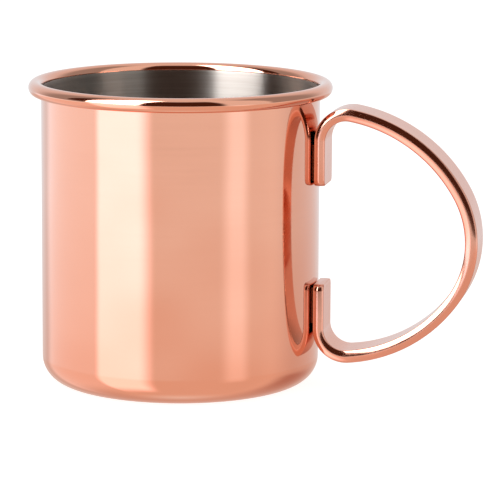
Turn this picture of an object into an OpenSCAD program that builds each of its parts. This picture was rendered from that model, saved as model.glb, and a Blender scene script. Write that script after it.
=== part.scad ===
// Straight-sided copper mug: a drawn copper cup with a rolled rim, a steel liner
// pressed into it, and a handle bent from one flat strip and brazed on by its feet.
// The origin is on the cup's axis at the base plane. +Z points up out of the mouth
// and the handle stands out along +X. All sizes are in millimetres.

/* [Cup] */
// Outside radius of the straight wall
cup_r = 43; // [38:0.5:48]
// Height from the base to the top of the rolled rim
cup_h = 94; // [88:0.5:110]
// Outside radius of the rounded bottom corner
corner_r = 8; // [4:0.5:12]
// Thickness of the copper sheet
shell_t = 0.5; // [0.4:0.1:0.8]
// Thickness of the liner's steel sheet
liner_t = 0.3; // [0.2:0.1:0.5]

/* [Rolled rim] */
// Outside radius of the hollow bead
bead_r = 2.2; // [1.8:0.1:3]
// Angle that the sheet is rolled through, outwards and down
bead_turn = 315; // [280:5:340]
// Depth of the liner's edge below the middle of the bead
liner_drop = 0; // [0:0.1:2]

/* [Handle strip] */
// Thickness of the strip
strip_t = 3.9; // [3:0.1:5]
// Width of the strip
strip_w = 14; // [10:0.5:18]
// Radius of the strip's four edges
strip_edge_r = 0.4; // [0.2:0.1:0.8]
// Steepest tilt of the strip's crowned sides
side_tilt = 32; // [20:1:40]
// Thickness of the feet, which are pressed thinner than the strip
foot_t = 3.3; // [2.5:0.1:5]
// Rounding of the corners at the free end of each foot
foot_corner_r = 2; // [1:0.5:4]

/* [Handle bends] */
// Height where the upper foot turns into its bend
upper_bend_z = 77.2; // [74:0.1:80]
// Radius of the tight bend beside each foot
foot_bend_r = 8.2; // [6:0.1:10]
// Turn of the tight bend beside the upper foot
upper_bend_turn = 100; // [95:1:105]
// Radius of the long upper arm
upper_arm_r = 47.6; // [44:0.1:52]
// Turn of the long upper arm
upper_arm_turn = 50; // [45:1:55]
// Radius of the loop's outer end
nose_r = 30.5; // [28:0.5:33]
// Turn of the loop's outer end
nose_turn = 64.5; // [60:0.5:68]
// Turn of the long lower arm
lower_arm_turn = 50; // [46:1:54]

/* [Feet and brazing] */
// Straight length of the upper foot, below its bend
upper_foot = 14; // [10:0.5:18]
// Straight length of the lower foot, above its bend
lower_foot = 14; // [10:0.5:18]
// Thickness of the brazing alloy at the middle of a foot
braze_t = 0.15; // [0.1:0.05:0.4]
// Width of the brazed seam across a foot
braze_w = 9; // [6:0.5:9]
// Distance from the brazed seam to the ends of a foot's straight length
braze_inset = 1.5; // [1:0.5:3]

/* [Hidden] */
$fn = 144;

copper = "#d98b68";
steel = "#a9a6a2";
alloy = "#c9b48c";

// Cup: the bead's inner side continues the straight wall
bead_x = cup_r - shell_t + bead_r;
bead_z = cup_h - bead_r;
liner_r = cup_r - shell_t;
liner_top = bead_z - liner_drop;

// Handle: the strip runs up from the upper foot, clockwise through five bends,
// and up again into the lower foot. The lower arm's radius is the one that brings
// both feet to the same distance from the wall.
foot_x = cup_r + braze_t + strip_t / 2;
last_bend_turn = 360 - upper_bend_turn - upper_arm_turn - nose_turn - lower_arm_turn;
turn = [upper_bend_turn, upper_arm_turn, nose_turn, lower_arm_turn, last_bend_turn];
function heading(i) = i == 0 ? 90 : heading(i - 1) - turn[i - 1];
function reach(i) = sin(heading(i)) - sin(heading(i + 1));
function climb(i) = cos(heading(i + 1)) - cos(heading(i));
reach_of_others = foot_bend_r * (reach(0) + reach(4)) + upper_arm_r * reach(1) + nose_r * reach(2);
lower_arm_r = -reach_of_others / reach(3);
bend_r = [foot_bend_r, upper_arm_r, nose_r, lower_arm_r, foot_bend_r];
function bend_x(i) = i == 0 ? foot_x : bend_x(i - 1) + bend_r[i - 1] * reach(i - 1);
function bend_z(i) = i == 0 ? upper_bend_z : bend_z(i - 1) + bend_r[i - 1] * climb(i - 1);
lower_bend_z = bend_z(len(turn));

// The strip's side is an arc that meets the edge radii at its steepest tilt
side_r = (strip_t / 2 - strip_edge_r * (1 - sin(side_tilt))) / sin(side_tilt);
edge_inset = side_r * (1 - cos(side_tilt)) + strip_edge_r * cos(side_tilt);

// Fineness of the sweep
bend_step = 6;
edge_steps = 3;
side_steps = 3;
end_steps = 4;

// A quarter ring for the bottom corner, its centre at the origin
module corner_ring(outer, sheet) {
    intersection() {
        difference() {
            circle(outer);
            circle(outer - sheet);
        }
        translate([0, -outer - 1])
            square(outer + 1);
    }
}

// Half profile of a flat-bottomed cup of even sheet, standing on z = 0
module cup_profile(radius, height, sheet) {
    square([radius - corner_r, sheet]);
    translate([radius - corner_r, corner_r])
        corner_ring(corner_r, sheet);
    translate([radius - sheet, corner_r])
        square([sheet, height - corner_r]);
}

// The rolled bead, open between the wall and the end of the roll
module bead_profile() {
    opening = 360 - bead_turn;
    past = 3 * bead_r;
    difference() {
        circle(bead_r);
        circle(bead_r - shell_t);
        polygon([[0, 0], [-past, 0], [-past, -past * tan(opening)]]);
    }
}

module outer_shell() {
    color(copper)
        rotate_extrude() {
            cup_profile(cup_r, bead_z, shell_t);
            translate([bead_x, bead_z])
                bead_profile();
        }
}

module inner_liner() {
    color(steel)
        rotate_extrude()
            translate([0, shell_t])
                cup_profile(liner_r, liner_top - shell_t, liner_t);
}

// A quarter of the strip's outline as [thickness, width] points, from the middle of
// a broad face's edge radius to the middle of a side
function quarter_outline(half_w) = concat(
    [for (k = [0 : edge_steps])
        let (angle = (90 - side_tilt) * k / edge_steps)
        [strip_t / 2 - strip_edge_r * (1 - cos(angle)),
         half_w - edge_inset + strip_edge_r * sin(angle)]],
    [for (k = [1 : side_steps])
        let (angle = 90 - side_tilt * (1 - k / side_steps))
        [side_r * cos(angle), half_w - side_r * (1 - sin(angle))]]
);

function reversed(points) = [for (k = [len(points) - 1 : -1 : 0]) points[k]];

// One cross-section of the strip as a ring of points. The strip's back is on the
// outside of the loop and keeps its place where the strip is pressed thinner.
function section_ring(s) =
    let (
        quarter = quarter_outline(s[3]),
        shorter = [for (k = [0 : len(quarter) - 2]) quarter[k]],
        outline = concat(
            quarter,
            [for (p = reversed(shorter)) [-p[0], p[1]]],
            [for (p = quarter) [-p[0], -p[1]]],
            [for (p = reversed(shorter)) [p[0], -p[1]]]
        )
    )
    [for (p = outline)
        let (out = strip_t / 2 - (strip_t / 2 - p[0]) * s[4] / strip_t)
        [s[0] - out * sin(s[2]), p[1], s[1] + out * cos(s[2])]];

// Stations of a foot's rounded free end. A station is [x, z, heading, half width, thickness].
function foot_end(z, side) =
    [for (k = [0 : end_steps])
        let (angle = 90 * (side > 0 ? end_steps - k : k) / end_steps)
        [foot_x, z - side * foot_corner_r * (1 - cos(angle)), 90,
         strip_w / 2 - foot_corner_r * (1 - sin(angle)), foot_t]];

// Stations round one bend, from its start to its end
function bend_stations(i) =
    let (
        r = bend_r[i],
        steps = ceil(turn[i] / bend_step),
        centre_x = bend_x(i) + r * sin(heading(i)),
        centre_z = bend_z(i) - r * cos(heading(i)),
        start_t = i == 0 ? foot_t : strip_t,
        end_t = i == len(turn) - 1 ? foot_t : strip_t
    )
    [for (k = [(i == 0 ? 0 : 1) : steps])
        let (angle = heading(i) - turn[i] * k / steps)
        [centre_x - r * sin(angle), centre_z + r * cos(angle), angle, strip_w / 2,
         start_t + (end_t - start_t) * k / steps]];

// The strip is swept from the upper foot's free end to the lower foot's
module handle() {
    stations = concat(
        foot_end(upper_bend_z - upper_foot, -1),
        [for (i = [0 : len(turn) - 1]) each bend_stations(i)],
        foot_end(lower_bend_z + lower_foot, 1)
    );
    ring = len(section_ring(stations[0]));
    last = ring * (len(stations) - 1);
    sides = [for (i = [0 : len(stations) - 2], j = [0 : ring - 1])
        let (a = i * ring + j, b = i * ring + (j + 1) % ring)
        each [[a, b, b + ring], [a, b + ring, a + ring]]];
    color(copper)
        polyhedron(
            [for (s = stations) each section_ring(s)],
            concat([[for (j = [ring - 1 : -1 : 0]) j]], sides, [[for (j = [0 : ring - 1]) last + j]])
        );
}

// Brazing alloy that fills between the round wall and the flat back of a foot
module braze_joint(z, length) {
    depth = 1;
    color(alloy)
        difference() {
            translate([cup_r + braze_t - depth, -braze_w / 2, z + braze_inset])
                cube([depth, braze_w, length - 2 * braze_inset]);
            translate([0, 0, z])
                cylinder(h = length, r = cup_r, $fn = 720);
        }
}

module upper_braze_joint() {
    braze_joint(upper_bend_z - upper_foot, upper_foot);
}

module lower_braze_joint() {
    braze_joint(lower_bend_z, lower_foot);
}

outer_shell();
inner_liner();
handle();
upper_braze_joint();
lower_braze_joint();
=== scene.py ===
import bpy
from math import cos, pi, radians, sin, sqrt
from mathutils import Matrix, Vector


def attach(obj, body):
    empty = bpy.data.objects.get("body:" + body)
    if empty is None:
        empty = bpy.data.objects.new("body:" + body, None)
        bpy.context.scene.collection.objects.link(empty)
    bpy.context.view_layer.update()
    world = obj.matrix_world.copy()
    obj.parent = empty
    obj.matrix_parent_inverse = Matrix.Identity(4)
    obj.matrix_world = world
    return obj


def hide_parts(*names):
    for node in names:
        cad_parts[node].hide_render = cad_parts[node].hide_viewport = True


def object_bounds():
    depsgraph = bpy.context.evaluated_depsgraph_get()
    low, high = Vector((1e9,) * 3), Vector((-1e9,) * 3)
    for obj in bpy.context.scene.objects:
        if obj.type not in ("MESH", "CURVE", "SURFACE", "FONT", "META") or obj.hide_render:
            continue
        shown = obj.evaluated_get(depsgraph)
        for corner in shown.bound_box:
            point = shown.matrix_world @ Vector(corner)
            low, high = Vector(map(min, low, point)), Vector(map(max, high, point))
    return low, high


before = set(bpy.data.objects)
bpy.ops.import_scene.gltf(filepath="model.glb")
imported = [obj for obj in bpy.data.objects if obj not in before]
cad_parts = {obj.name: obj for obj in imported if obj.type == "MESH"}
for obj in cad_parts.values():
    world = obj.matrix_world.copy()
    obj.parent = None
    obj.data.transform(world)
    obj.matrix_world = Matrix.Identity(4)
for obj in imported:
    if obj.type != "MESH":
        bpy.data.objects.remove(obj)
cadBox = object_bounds()
mm = 0.001
touch = 0.01 * mm  # vertices closer than this count as being in the same place
weld = 0.002 * mm  # vertices closer than this are merged
print("frame loaded:", ", ".join(sorted(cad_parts)))


def activate(obj):  # leaves only this object selected, in object mode
    if bpy.context.object and bpy.context.object.mode != "OBJECT":
        bpy.ops.object.mode_set(mode="OBJECT")
    bpy.ops.object.select_all(action="DESELECT")
    obj.select_set(True)
    bpy.context.view_layer.objects.active = obj


def editVerts(obj, test):  # goes to edit mode with only the vertices that pass the test selected
    bpy.ops.object.mode_set(mode="OBJECT")
    for part in (obj.data.vertices, obj.data.edges, obj.data.polygons):
        part.foreach_set("select", [False] * len(part))
    for v in obj.data.vertices:
        v.select = bool(test(v.co))
    bpy.ops.object.mode_set(mode="EDIT")
    bpy.ops.mesh.select_mode(type="VERT")


def near(x, z):  # a test for editVerts that finds one vertex of a profile
    return lambda co: abs(co.x - x) < touch and abs(co.z - z) < touch


def extrudeBy(x, y, z):
    bpy.ops.mesh.extrude_region_move(TRANSFORM_OT_translate={"value": (x, y, z)})


def arcBy(cx, cz, turn, steps):  # carries the selected end of a profile round a centre, clockwise if negative
    bpy.ops.mesh.spin(steps=steps, angle=radians(turn), center=(cx, 0, cz), axis=(0, 1, 0))


def pointAt(name, x, z):  # a mesh of one selected vertex, left in edit mode, to draw an outline from
    bpy.ops.object.select_all(action="DESELECT")
    bpy.ops.mesh.primitive_plane_add(size=1 * mm, location=(x, 0, z))
    obj = bpy.context.object
    obj.name = obj.data.name = name
    bpy.ops.object.transform_apply(location=True, rotation=True, scale=True)
    bpy.ops.object.mode_set(mode="EDIT")
    bpy.ops.mesh.select_mode(type="VERT")
    bpy.ops.mesh.select_all(action="SELECT")
    bpy.ops.mesh.merge(type="CENTER")
    bpy.ops.mesh.select_all(action="SELECT")
    return obj


def roundCorner(obj, x, z, radius, steps):
    editVerts(obj, near(x, z))
    bpy.ops.mesh.bevel(offset=radius, offset_type="OFFSET", segments=steps, affect="VERTICES", profile=0.5)


def lathe(obj, steps):  # turns the profile round the cup's axis and closes the seam and the pole
    bpy.ops.mesh.select_all(action="SELECT")
    bpy.ops.mesh.spin(steps=steps, angle=2 * pi, center=(0, 0, 0), axis=(0, 0, 1))
    bpy.ops.mesh.select_all(action="SELECT")
    bpy.ops.mesh.remove_doubles(threshold=weld)
    bpy.ops.mesh.normals_make_consistent(inside=False)
    bpy.ops.object.mode_set(mode="OBJECT")


def drawCup(obj, x, top, floor, corner, s):  # down a wall from its top, round the corner and in to the axis
    besideCorner = corner + s["support"]
    extrudeBy(0, 0, -s["support"])
    extrudeBy(0, 0, floor + besideCorner - (top - s["support"]))
    extrudeBy(0, 0, -besideCorner)
    extrudeBy(-besideCorner, 0, 0)
    extrudeBy(besideCorner - x, 0, 0)
    roundCorner(obj, x, floor, corner, s["cornerSteps"])
    lathe(obj, s["turns"])


def thicken(obj, sheet, side):  # side 1 adds the sheet's thickness where the faces point, and -1 behind them
    activate(obj)
    bpy.ops.object.modifier_add(type="SOLIDIFY")
    solid = obj.modifiers[-1]
    solid.thickness = sheet
    solid.offset = side
    solid.use_even_offset = True
    bpy.ops.object.modifier_apply(modifier=solid.name)


def smooth(obj, angle):
    activate(obj)
    bpy.ops.object.shade_smooth_by_angle(angle=radians(angle))


# camera: a long lens, a little above the rim, with the handle to the right; it aims at a point above the
# table and to the right of the cup's axis
cameraSetup = {"azimuth": 11.6, "elevation": 10.06, "roll": 0.29, "distance": 977 * mm,
               "lens": 226.3, "sensor": 36, "aimOut": 21.6 * mm, "aimUp": 43.9 * mm}


def makeCamera(c):
    a, e, r = radians(c["azimuth"]), radians(c["elevation"]), radians(c["roll"])
    level = Matrix.Rotation(a, 3, "Z")
    back = level @ Vector((0, -cos(e), sin(e)))
    right = level.col[0]
    up = back.cross(right)
    rolledRight = right * cos(r) + up * sin(r)
    rolledUp = up * cos(r) - right * sin(r)
    place = right * c["aimOut"] + back * c["distance"]
    place.z += c["aimUp"]
    bpy.ops.object.camera_add()
    cam = bpy.context.object
    cam.name = "productCamera"
    turned = Matrix((rolledRight, rolledUp, back)).transposed().to_4x4()
    cam.matrix_world = Matrix.Translation(place) @ turned
    cam.data.sensor_width = c["sensor"]
    cam.data.lens = c["lens"]
    bpy.context.scene.camera = cam


makeCamera(cameraSetup)
print("camera placed")


# shell: a drawn copper cup whose rim is rolled outwards and down into a hollow bead
shellSize = {"wall": 43 * mm, "sheet": 0.5 * mm, "corner": 8 * mm, "cornerSteps": 20, "bead": 2.2 * mm,
             "beadTurn": 315, "beadSteps": 64, "support": 0.7 * mm, "turns": 256, "crease": 35}


def makeShell(s):
    inside = s["wall"] - s["sheet"]
    beadX, beadZ = inside + s["bead"], cadBox[1].z - s["bead"]
    start = radians(180 - s["beadTurn"])
    obj = pointAt("cupShell", beadX + s["bead"] * cos(start), beadZ + s["bead"] * sin(start))
    arcBy(beadX, beadZ, s["beadTurn"], s["beadSteps"])
    drawCup(obj, inside, beadZ, s["sheet"], s["corner"] - s["sheet"], s)
    thicken(obj, s["sheet"], -1)  # the profile is the sheet's inside, which becomes the bead's outside
    smooth(obj, s["crease"])
    return obj


# liner: a thin steel cup pressed into the shell, its edge feathered out to the wall halfway up the bead
linerSize = {"wall": 42.2 * mm, "sheet": 0.3 * mm, "floor": 0.8 * mm, "corner": 7.7 * mm, "cornerSteps": 20,
             "edge": 0.03 * mm, "support": 1.2 * mm, "turns": 256, "crease": 35}


def makeLiner(s, shell):
    top = cadBox[1].z - shell["bead"]
    obj = pointAt("cupLiner", s["wall"], top)
    drawCup(obj, s["wall"], top, s["floor"], s["corner"], s)
    thicken(obj, s["sheet"], 1)
    middle = s["wall"] + s["sheet"] / 2
    editVerts(obj, lambda co: co.z > top - touch and co.xy.length < middle)
    feather = 1 + (s["sheet"] - s["edge"]) / s["wall"]  # takes the inner edge out almost to the outer one
    bpy.ops.transform.resize(value=(feather, feather, 1), center_override=(0, 0, 0))
    bpy.ops.object.mode_set(mode="OBJECT")
    smooth(obj, s["crease"])
    return obj


# handle: one strip with crowned sides, bent by five arcs between two straight feet that are pressed thinner
stripSize = {"thick": 3.9 * mm, "wide": 14 * mm, "edge": 0.4 * mm, "edgeSteps": 6, "sideTilt": 32,
             "sideSteps": 14, "support": 0.3 * mm, "wallGap": 0.15 * mm, "upperBend": 77.2 * mm,
             "foot": 14 * mm, "footThick": 3.3 * mm, "footCorner": 2 * mm, "footEdge": 0.5 * mm,
             "endSteps": 8, "crease": 40}
# each bend is its radius, its turn in degrees and how many steps it is made of; the lower arm's radius
# is left open, and is the one that brings both feet to the same distance from the wall
stripBends = [[8.2 * mm, 100, 48], [47.6 * mm, 50, 44], [30.5 * mm, 64.5, 44], [None, 50, 44],
              [8.2 * mm, 95.5, 48]]


def drawSection(s, x):  # the strip's outline seen from above, anticlockwise from the middle of a broad face
    edge, tilt = s["edge"], radians(s["sideTilt"])
    sideR = (s["thick"] / 2 - edge * (1 - sin(tilt))) / sin(tilt)
    inset = sideR * (1 - cos(tilt)) + edge * cos(tilt)
    flat = s["wide"] / 2 - inset

    def turnAbout(dx, y, turn, steps):
        bpy.ops.mesh.spin(steps=steps, angle=-radians(turn), center=(x + dx, y, 0), axis=(0, 0, 1))

    for side in (1, -1):
        corner, y = side * (s["thick"] / 2 - edge), side * flat
        for step in (flat - s["support"], s["support"]):
            extrudeBy(0, side * step, 0)
        turnAbout(corner, y, 90 - s["sideTilt"], s["edgeSteps"])
        turnAbout(0, side * (s["wide"] / 2 - sideR), 2 * s["sideTilt"], s["sideSteps"])
        turnAbout(-corner, y, 90 - s["sideTilt"], s["edgeSteps"])
        for step in (s["support"], flat - s["support"]):
            extrudeBy(0, -side * step, 0)
    bpy.ops.mesh.select_all(action="SELECT")
    bpy.ops.mesh.remove_doubles(threshold=weld)
    bpy.ops.mesh.select_all(action="SELECT")


def closeBends(bends):  # fills in the open radius, and returns the heading before and after every bend
    headings = [90]
    for bend in bends:
        headings.append(headings[-1] - bend[1])
    reach = [sin(radians(a)) - sin(radians(b)) for a, b in zip(headings, headings[1:])]
    others = sum(bend[0] * r for bend, r in zip(bends, reach) if bend[0])
    for bend, r in zip(bends, reach):
        bend[0] = bend[0] or -others / r
    return headings


def scaleThickness(ratio, x, z, heading):  # about a point on the strip's back
    a = radians(heading)
    axes = ((-sin(a), 0, cos(a)), (0, 1, 0), (-cos(a), 0, -sin(a)))
    bpy.ops.transform.resize(value=(ratio, 1, 1), orient_type="GLOBAL", orient_matrix=axes,
                             orient_matrix_type="GLOBAL", center_override=(x, 0, z))


def bendTapered(s, cx, cz, radius, heading, turn, steps, thick):  # from one thickness to another
    out = radius + s["thick"] / 2
    for k in range(steps):
        arcBy(cx, cz, -turn / steps, 1)
        heading -= turn / steps
        before, after = (thick[0] + (thick[1] - thick[0]) * (k + i) / steps for i in (0, 1))
        backX, backZ = cx - out * sin(radians(heading)), cz + out * cos(radians(heading))
        scaleThickness(after / before, backX, backZ, heading)


def endFoot(obj, s, test, up):  # rounds the corners and the rim of a free end, and closes it
    editVerts(obj, test)
    bpy.ops.mesh.edge_face_add()
    corner, edge = s["footCorner"], s["footEdge"]
    footX = shellSize["wall"] + s["wallGap"] + s["footThick"] / 2

    def ring(k):  # length, half width and half thickness at step k of the rounding
        angle = pi / 2 * k / s["endSteps"]
        along = corner * sin(angle)
        inEdge = max(0, along - (corner - edge))
        trim = edge - sqrt(edge ** 2 - inEdge ** 2)
        return along, s["wide"] / 2 - corner * (1 - cos(angle)), s["footThick"] / 2 - trim

    for k in range(s["endSteps"]):
        a, b = ring(k), ring(k + 1)
        extrudeBy(0, 0, up * (b[0] - a[0]))
        bpy.ops.transform.resize(value=(b[2] / a[2], b[1] / a[1], 1), center_override=(footX, 0, 0))
    bpy.ops.object.mode_set(mode="OBJECT")


def makeHandle(s, bends):
    backX = shellSize["wall"] + s["wallGap"]
    x, z = backX + s["thick"] / 2, s["upperBend"]
    straight = s["foot"] - s["footCorner"]
    start = z - straight
    obj = pointAt("loopHandle", backX + s["thick"], start)
    drawSection(s, x)
    scaleThickness(s["footThick"] / s["thick"], backX, start, 90)
    extrudeBy(0, 0, straight)
    headings = closeBends(bends)
    for i, (radius, turn, steps) in enumerate(bends):
        before, after = headings[i], headings[i + 1]
        cx, cz = x + radius * sin(radians(before)), z - radius * cos(radians(before))
        if i == 0:
            bendTapered(s, cx, cz, radius, before, turn, steps, (s["footThick"], s["thick"]))
        elif i == len(bends) - 1:
            bendTapered(s, cx, cz, radius, before, turn, steps, (s["thick"], s["footThick"]))
        else:
            arcBy(cx, cz, -turn, steps)
        x, z = cx - radius * sin(radians(after)), cz + radius * cos(radians(after))
    extrudeBy(0, 0, straight)
    end = z + straight
    outer = backX + s["footThick"] + touch
    endFoot(obj, s, lambda co: abs(co.z - end) < touch and co.x < outer, 1)
    endFoot(obj, s, lambda co: abs(co.z - start) < touch and co.x < outer, -1)
    activate(obj)
    bpy.ops.object.mode_set(mode="EDIT")
    bpy.ops.mesh.select_all(action="SELECT")
    bpy.ops.mesh.normals_make_consistent(inside=False)
    bpy.ops.object.mode_set(mode="OBJECT")
    smooth(obj, s["crease"])
    return obj


cupShell = makeShell(shellSize)
cupLiner = makeLiner(linerSize, shellSize)
print("cup and liner turned")
loopHandle = makeHandle(stripSize, stripBends)
print("handle bent")


def colour(code):  # an sRGB hex value as linear RGBA
    parts = [int(code[i:i + 2], 16) / 255 for i in (1, 3, 5)]
    return [c / 12.92 if c <= 0.04045 else ((c + 0.055) / 1.055) ** 2.4 for c in parts] + [1]


def addNode(tree, kind, settings=None, links=None):  # settings by attribute or input name, links by input
    node = tree.nodes.new("ShaderNode" + kind)
    for key, value in (settings or {}).items():
        if isinstance(key, str) and hasattr(node, key):
            setattr(node, key, value)
        else:
            node.inputs[key].default_value = value
    for key, source in (links or {}).items():
        tree.links.new(source, node.inputs[key])
    return node


def newMaterial(name):
    mat = bpy.data.materials.new(name)
    mat.use_nodes = True
    mat.node_tree.nodes.clear()
    return mat, mat.node_tree


def output(tree, shader):
    addNode(tree, "OutputMaterial", links={"Surface": shader.outputs[0]})


def dress(obj, mat):
    obj.data.materials.clear()
    obj.data.materials.append(mat)


noiseSpan = {"From Min": 0.3, "From Max": 0.7}  # a noise seldom leaves this range


def lacqueredCopper(name, look):
    mat, tree = newMaterial(name)
    place = addNode(tree, "TexCoord").outputs["Object"]
    cloud = addNode(tree, "TexNoise", {"Scale": 1 / look["cloudSize"], "Detail": 3}, {"Vector": place})
    tone = addNode(tree, "MapRange", noiseSpan, {"Value": cloud.outputs[0]})
    tint = addNode(tree, "Mix", {"data_type": "RGBA", 6: colour(look["deep"]), 7: colour(look["pale"])},
                   {"Factor": tone.outputs[0]})
    stretched = addNode(tree, "Mapping", {"Scale": look["hairStretch"]}, {"Vector": place})
    hair = addNode(tree, "TexNoise", {"Scale": 1 / look["hairWidth"], "Detail": 4},
                   {"Vector": stretched.outputs[0]})
    low, high = look["rough"]
    rough = addNode(tree, "MapRange",
                    {**noiseSpan, "From Min": look["hairFrom"], "To Min": low, "To Max": high},
                    {"Value": hair.outputs[0]})
    swell = addNode(tree, "TexNoise", {"Scale": 1 / look["swellSize"], "Detail": 1}, {"Vector": place})
    bump = addNode(tree, "Bump", {"Strength": 1, "Distance": look["swellDepth"]},
                   {"Height": swell.outputs[0]})
    metal = {"Metallic": 1, "Coat Weight": look["coat"], **lacquer}
    output(tree, addNode(tree, "BsdfPrincipled", metal,
                         {"Base Color": tint.outputs[2], "Roughness": rough.outputs[0],
                          "Normal": bump.outputs[0]}))
    return mat


def brushedSteel(name, look):
    mat, tree = newMaterial(name)
    place = addNode(tree, "TexCoord").outputs["Object"]
    stretched = addNode(tree, "Mapping", {"Scale": (1, 1, look["lineStretch"])}, {"Vector": place})
    line = addNode(tree, "TexNoise", {"Scale": 1 / look["lineLength"], "Detail": 3, "Roughness": 0.6},
                   {"Vector": stretched.outputs[0]})
    tone = addNode(tree, "MapRange", noiseSpan, {"Value": line.outputs[0]})
    tint = addNode(tree, "Mix", {"data_type": "RGBA", 6: colour(look["groove"]), 7: colour(look["ridge"])},
                   {"Factor": tone.outputs[0]})
    low, high = look["rough"]
    rough = addNode(tree, "MapRange", {**noiseSpan, "To Min": low, "To Max": high},
                    {"Value": line.outputs[0]})
    bump = addNode(tree, "Bump", {"Strength": 1, "Distance": look["lineDepth"]}, {"Height": line.outputs[0]})
    along = addNode(tree, "Tangent", {"direction_type": "RADIAL", "axis": "Z"})
    metal = {"Metallic": 1, "Anisotropic": look["anisotropy"], "Anisotropic Rotation": look["rotation"]}
    output(tree, addNode(tree, "BsdfPrincipled", metal,
                         {"Base Color": tint.outputs[2], "Roughness": rough.outputs[0],
                          "Normal": bump.outputs[0], "Tangent": along.outputs[0]}))
    return mat


def silverBraze(name, look):
    mat, tree = newMaterial(name)
    place = addNode(tree, "TexCoord").outputs["Object"]
    grain = addNode(tree, "TexNoise", {"Scale": 1 / look["grain"], "Detail": 4}, {"Vector": place})
    tint = addNode(tree, "Mix", {"data_type": "RGBA", 6: colour(look["dull"]), 7: colour(look["bright"])},
                   {"Factor": grain.outputs[0]})
    bump = addNode(tree, "Bump", {"Distance": look["depth"]}, {"Height": grain.outputs[0]})
    output(tree, addNode(tree, "BsdfPrincipled", {"Metallic": 1, "Roughness": look["rough"]},
                         {"Base Color": tint.outputs[2], "Normal": bump.outputs[0]}))
    return mat


lacquer = {"Coat Roughness": 0.02, "Coat IOR": 1.5}  # clear lacquer, sprayed: a thin sharp gloss
# drawn and buffed copper sheet under clear lacquer: a mirror that swells gently, with faint clouds of colour;
# the hairlines round the cup are drawn coarser than the buffing leaves them, which is too fine to show
shellCopper = {"deep": "#E8A486", "pale": "#EEAC8F", "cloudSize": 60 * mm, "hairWidth": 1.2 * mm,
               "hairStretch": (0.03, 0.03, 1), "hairFrom": 0.35, "rough": (0.05, 0.09),
               "swellSize": 45 * mm, "swellDepth": 0.6 * mm, "coat": 1}
# rolled and buffed copper strip under the same lacquer: a softer mirror, its fine scuffs drawn coarser too
handleCopper = {"deep": "#E3A088", "pale": "#EAA990", "cloudSize": 30 * mm, "hairWidth": 0.8 * mm,
                "hairStretch": (0.2, 0.2, 0.2), "hairFrom": 0.35, "rough": (0.12, 0.17),
                "swellSize": 22 * mm, "swellDepth": 0.5 * mm, "coat": 0.4}
# stainless steel brushed round the cup: light smears up and down across the lines, which are drawn about
# 0.9 mm wide because those that a brush leaves are too fine to show
linerSteel = {"groove": "#928A83", "ridge": "#A39B93", "lineLength": 40 * mm, "lineStretch": 45,
              "lineDepth": 0.002 * mm, "rough": (0.33, 0.37), "anisotropy": 0.97, "rotation": 0.25}
# silver brazing alloy as it cooled: matt, with a coarse grain
brazeAlloy = {"dull": "#7A4E3A", "bright": "#B98A66", "grain": 0.8 * mm, "depth": 0.05 * mm, "rough": 0.45}

dress(cupShell, lacqueredCopper("lacqueredCopperSheet", shellCopper))
dress(loopHandle, lacqueredCopper("lacqueredCopperStrip", handleCopper))
dress(cupLiner, brushedSteel("brushedStainlessSteel", linerSteel))
brazeMaterial = silverBraze("silverBrazingAlloy", brazeAlloy)
for joint in ("upper_braze_joint", "lower_braze_joint"):
    dress(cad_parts[joint], brazeMaterial)
print("materials made")

for piece, node, slot in ((cupShell, "outer_shell", "copper_sheet"), (cupLiner, "inner_liner", "liner_steel"),
                          (loopHandle, "handle", "copper_strip")):
    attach(piece, "root")
    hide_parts(node)


# studio: what the copper mirrors, as patches of light laid over each other in this order; a patch spans
# degrees across, from the camera's direction round to the right, and degrees up from level, each span
# with how soft its two edges are
allAround = {"across": (-200, 200), "acrossSoft": (4, 4)}
fromTopToBottom = {"up": (-95, 95), "upSoft": (4, 4)}
overTable = {"up": (-4.25, 95), "upSoft": (4.5, 4)}
onTable = {"up": (-50, -4.25), "upSoft": (28, 4.5)}
studioPatches = {
    "tableInFront": {"across": (-60, 75), "acrossSoft": (20, 20), **fromTopToBottom,
                     "tint": "#FFFFFF", "level": 0.97},
    "tableAtLeft": {"across": (-140, -30), "acrossSoft": (14, 14), **onTable,
                    "tint": "#F0F6FF", "level": 1.34},
    "tableAtRight": {"across": (39, 57), "acrossSoft": (14, 12), "up": (-17, -4.25), "upSoft": (18, 4.5),
                     "tint": "#EDF6FF", "level": 1.5},
    "keyOnTable": {"across": (-70.5, -27.5), "acrossSoft": (7, 17), **onTable,
                   "tint": "#E9EBFF", "level": 2.65},
    "shadeAtRight": {"across": (100, 150), "acrossSoft": (30, 60), "up": (-50, -20), "upSoft": (40, 12),
                     "tint": "#CBB1AD", "level": 1},
    "walls": {"across": (-125, 125), "acrossSoft": (30, 30), **overTable, "tint": "#FFFFFF", "level": 0.4},
    "rightWall": {"across": (33, 73), "acrossSoft": (6, 6), **overTable, "tint": "#FFFFFF", "level": 0.93},
    "darkRoom": {"across": (-30, 34), "acrossSoft": (8, 8), "up": (-6, 64), "upSoft": (2, 12),
                 "tint": "#4A2A1C", "level": 1},
    "windowFrame": {"across": (-93, -72), "acrossSoft": (3, 3), "up": (6, 55), "upSoft": (6, 8),
                    "tint": "#4A2A1C", "level": 1},
    "ceiling": {**allAround, "up": (67, 95), "upSoft": (18, 4), "tint": "#FFFFFF", "level": 0.87},
    "windowPane": {"across": (-74, -30), "acrossSoft": (3, 5), "up": (2, 76), "upSoft": (6, 10),
                   "tint": "#F7FAFF", "level": 7.1}}
# behind the cup everything is a little darker, and the table takes on a warm glow close to the base
studio = {"behindTint": "#EAE6E7", "behindFrom": 0.2, "behindTo": -0.4, "glowTint": "#F5DACC",
          "glowFrom": -9, "glowTo": -13.5, "glowFadeTo": -95, "glowFadeFrom": -65, "fillLevel": 0.5}


def grey(level):
    return (level, level, level, 1)


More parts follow.
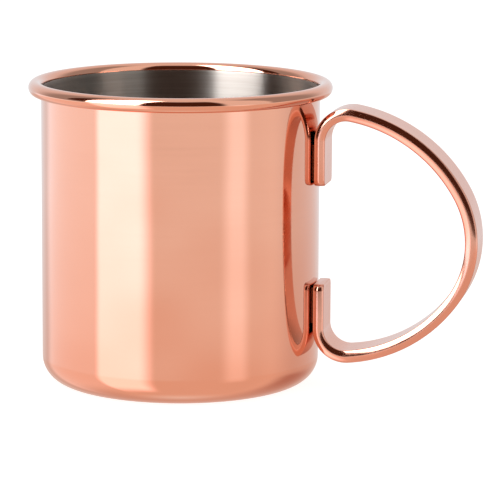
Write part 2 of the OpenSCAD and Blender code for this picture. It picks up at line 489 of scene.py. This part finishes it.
def layPatch(tree, below, angles, patch):  # lays one patch of light over what is there already
    amount = None
    for angle, span in zip(angles, ("across", "up")):
        for edge, width, rises in zip(patch[span], patch[span + "Soft"], (1, 0)):
            ramp = addNode(tree, "MapRange",
                           {"interpolation_type": "SMOOTHSTEP", "From Min": edge - width / 2,
                            "From Max": edge + width / 2, "To Min": 1 - rises, "To Max": rises},
                           {"Value": angle}).outputs[0]
            if amount:
                amount = addNode(tree, "Math", {"operation": "MULTIPLY"}, {0: amount, 1: ramp}).outputs[0]
            else:
                amount = ramp
    light = [part * patch["level"] for part in colour(patch["tint"])[:3]] + [1]
    return addNode(tree, "Mix", {"data_type": "RGBA", 7: light}, {"Factor": amount, 6: below}).outputs[2]


def makeWorld(s, patches):
    world = bpy.data.worlds.new("studio")
    bpy.context.scene.world = world
    world.use_nodes = True
    tree = world.node_tree
    tree.nodes.clear()
    look = addNode(tree, "TexCoord").outputs["Generated"]
    turnBack = -radians(cameraSetup["azimuth"])
    turned = addNode(tree, "VectorRotate", {"rotation_type": "Z_AXIS", "Angle": turnBack}, {"Vector": look})
    right, backwards, up = addNode(tree, "SeparateXYZ", links={0: turned.outputs[0]}).outputs
    forwards = addNode(tree, "Math", {"operation": "MULTIPLY", 1: -1}, {0: backwards}).outputs[0]
    turn = addNode(tree, "Math", {"operation": "ARCTAN2"}, {0: right, 1: forwards})
    tilt = addNode(tree, "Math", {"operation": "ARCSINE"}, {0: up})
    azimuth, elevation = (addNode(tree, "Math", {"operation": "DEGREES"}, {0: angle.outputs[0]}).outputs[0]
                          for angle in (turn, tilt))
    behind = addNode(tree, "MapRange",
                     {"interpolation_type": "SMOOTHSTEP", "From Min": s["behindTo"],
                      "From Max": s["behindFrom"], "To Min": 1, "To Max": 0}, {"Value": forwards})
    light = addNode(tree, "Mix", {"data_type": "RGBA", 6: grey(1), 7: colour(s["behindTint"])},
                    {"Factor": behind.outputs[0]}).outputs[2]
    for patch in patches.values():
        light = layPatch(tree, light, (azimuth, elevation), patch)
    glowStart = addNode(tree, "MapRange", {"From Min": s["glowTo"], "From Max": s["glowFrom"],
                                           "To Min": 1, "To Max": 0}, {"Value": elevation})
    glowEnd = addNode(tree, "MapRange", {"interpolation_type": "SMOOTHSTEP", "From Min": s["glowFadeTo"],
                                         "From Max": s["glowFadeFrom"]}, {"Value": elevation})
    glow = addNode(tree, "Math", {"operation": "MULTIPLY"}, {0: glowStart.outputs[0], 1: glowEnd.outputs[0]})
    glowing = addNode(tree, "Mix", {"data_type": "RGBA", "blend_type": "MULTIPLY", 7: colour(s["glowTint"])},
                      {"Factor": glow.outputs[0], 6: light})
    rays = addNode(tree, "LightPath").outputs
    shown = addNode(tree, "Mix", {"data_type": "RGBA", 7: grey(1)},
                    {"Factor": rays["Is Camera Ray"], 6: glowing.outputs[2]})
    mirrored = addNode(tree, "Background", {"Strength": 1}, {"Color": shown.outputs[2]})
    fill = addNode(tree, "Background", {"Color": grey(1), "Strength": s["fillLevel"]})
    seen = rays["Is Camera Ray"]
    for ray in ("Is Glossy Ray", "Is Transmission Ray"):
        seen = addNode(tree, "Math", {"operation": "MAXIMUM"}, {0: seen, 1: rays[ray]}).outputs[0]
    mixed = addNode(tree, "MixShader", links={0: seen, 1: fill.outputs[0], 2: mirrored.outputs[0]})
    addNode(tree, "OutputWorld", links={"Surface": mixed.outputs[0]})


# floor: a white table that keeps a faint shadow
floorLook = {"size": 12, "drop": 0.02 * mm, "albedo": 0.5, "glow": 0.87}
lampSetup = {"power": 1.6, "size": 0.9, "place": (-0.5, -0.5, 1.3)}


def makeFloor(s):
    bpy.ops.object.select_all(action="DESELECT")
    bpy.ops.mesh.primitive_plane_add(size=s["size"], location=(0, 0, -s["drop"]))
    floor = bpy.context.object
    floor.name = "whiteTable"
    floor.visible_glossy = False
    mat, tree = newMaterial("whiteTableTop")
    matt = addNode(tree, "BsdfDiffuse", {"Color": grey(s["albedo"])})
    rays = addNode(tree, "LightPath").outputs
    glow = addNode(tree, "Math", {"operation": "MULTIPLY", 1: s["glow"]}, {0: rays["Is Camera Ray"]})
    lit = addNode(tree, "Emission", {"Color": grey(1)}, {"Strength": glow.outputs[0]})
    output(tree, addNode(tree, "AddShader", links={0: matt.outputs[0], 1: lit.outputs[0]}))
    dress(floor, mat)


def makeLamp(s):
    bpy.ops.object.light_add(type="AREA", location=s["place"])
    lamp = bpy.context.object
    lamp.name = "overheadLamp"
    lamp.data.energy = s["power"]
    lamp.data.size = s["size"]
    lamp.visible_glossy = False
    lamp.rotation_euler = (-lamp.location).to_track_quat("-Z", "Y").to_euler()


makeWorld(studio, studioPatches)
makeFloor(floorLook)
makeLamp(lampSetup)
bpy.context.scene.view_settings.view_transform = "Standard"
print("studio lit")
